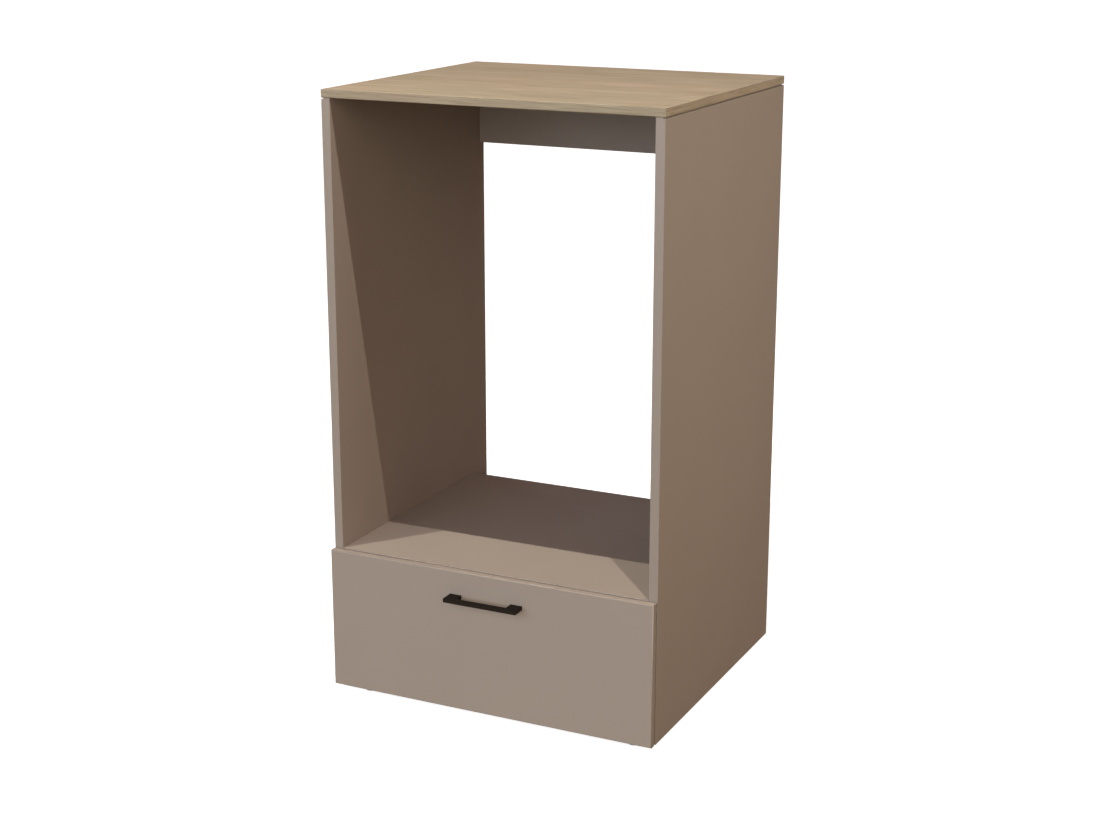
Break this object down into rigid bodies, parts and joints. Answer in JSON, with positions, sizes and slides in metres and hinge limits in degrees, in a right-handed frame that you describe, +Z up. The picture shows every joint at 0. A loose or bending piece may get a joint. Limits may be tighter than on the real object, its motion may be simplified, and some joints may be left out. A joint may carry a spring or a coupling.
{
  "type": "washing machine cabinet",
  "caption": "Free-standing tower cabinet with an open bay for a washing machine on a raised shelf, an oak-look worktop, a top rail at the back and a drawer with a bar handle below.",
  "frame": {"origin": "on the floor under the middle of the cabinet's outline, handle included", "axes": "+Z up, the drawer front faces -Y, +X to the right of someone facing the front"},
  "size_m": [0.68, 0.647, 1.184],
  "materials": {
    "taupe_laminate": "matt taupe laminated particle board",
    "taupe_front": "smooth matt taupe front",
    "oak_laminate": "oak-look laminated board, grain along the width",
    "drawer_board": "pale grey laminated drawer board",
    "drawer_base": "pale lacquered hardboard",
    "black_metal": "matt black die-cast handle",
    "dark_plastic": "dark plastic glide",
    "coated_steel": "white coated runner steel",
    "nylon": "natural nylon roller",
    "steel": "plain steel pin or bolt",
    "zinc": "die-cast zinc cam",
    "beech": "beech dowel",
    "bumper": "soft pad"
  },
  "bodies": {
    "cabinet": {"right_side_panel": "taupe_laminate", "left_side_panel": "taupe_laminate", "worktop": "oak_laminate", "machine_shelf": "taupe_laminate", "bottom_panel": "taupe_laminate", "rear_top_rail": "taupe_laminate", "lower_back_panel": "taupe_laminate", "feet": "dark_plastic", "shelf_cam_bolts": "steel", "shelf_cam_discs": "zinc", "wooden_dowels": "beech", "right_cabinet_runner": "coated_steel", "left_cabinet_runner": "coated_steel", "cabinet_roller_axles": "steel"},
    "drawer": {"drawer_front": "taupe_front", "right_drawer_side": "drawer_board", "left_drawer_side": "drawer_board", "drawer_back": "drawer_board", "drawer_bottom": "drawer_base", "handle": "black_metal", "drawer_bumpers": "bumper", "right_drawer_runner": "coated_steel", "left_drawer_runner": "coated_steel", "drawer_roller_axles": "steel"},
    "right_cabinet_roller": {"right_cabinet_roller": "nylon"},
    "left_cabinet_roller": {"left_cabinet_roller": "nylon"},
    "right_drawer_roller": {"right_drawer_roller": "nylon"},
    "left_drawer_roller": {"left_drawer_roller": "nylon"}
  },
  "joints": [
    {"name": "drawer_slide", "type": "slide", "parent": "cabinet", "child": "drawer", "axis": [0, -1, 0], "range_m": [0, 0.37]},
    {"name": "right_cabinet_roller_spin", "type": "hinge", "parent": "cabinet", "child": "right_cabinet_roller", "pos_m": [0.31575, -0.2615, 0.0658], "axis": [1, 0, 0], "range_deg": [0, 2020]},
    {"name": "left_cabinet_roller_spin", "type": "hinge", "parent": "cabinet", "child": "left_cabinet_roller", "pos_m": [-0.31575, -0.2615, 0.0658], "axis": [1, 0, 0], "range_deg": [0, 2020]},
    {"name": "right_drawer_roller_spin", "type": "hinge", "parent": "drawer", "child": "right_drawer_roller", "pos_m": [0.31575, 0.2085, 0.064], "axis": [1, 0, 0], "range_deg": [0, 2020]},
    {"name": "left_drawer_roller_spin", "type": "hinge", "parent": "drawer", "child": "left_drawer_roller", "pos_m": [-0.31575, 0.2085, 0.064], "axis": [1, 0, 0], "range_deg": [0, 2020]}
  ],
  "couplings": [
    {"joint": "right_cabinet_roller_spin", "follows": "drawer_slide", "rad_per_m": 95.238},
    {"joint": "left_cabinet_roller_spin", "follows": "drawer_slide", "rad_per_m": 95.238},
    {"joint": "right_drawer_roller_spin", "follows": "drawer_slide", "rad_per_m": 95.238},
    {"joint": "left_drawer_roller_spin", "follows": "drawer_slide", "rad_per_m": 95.238}
  ]
}
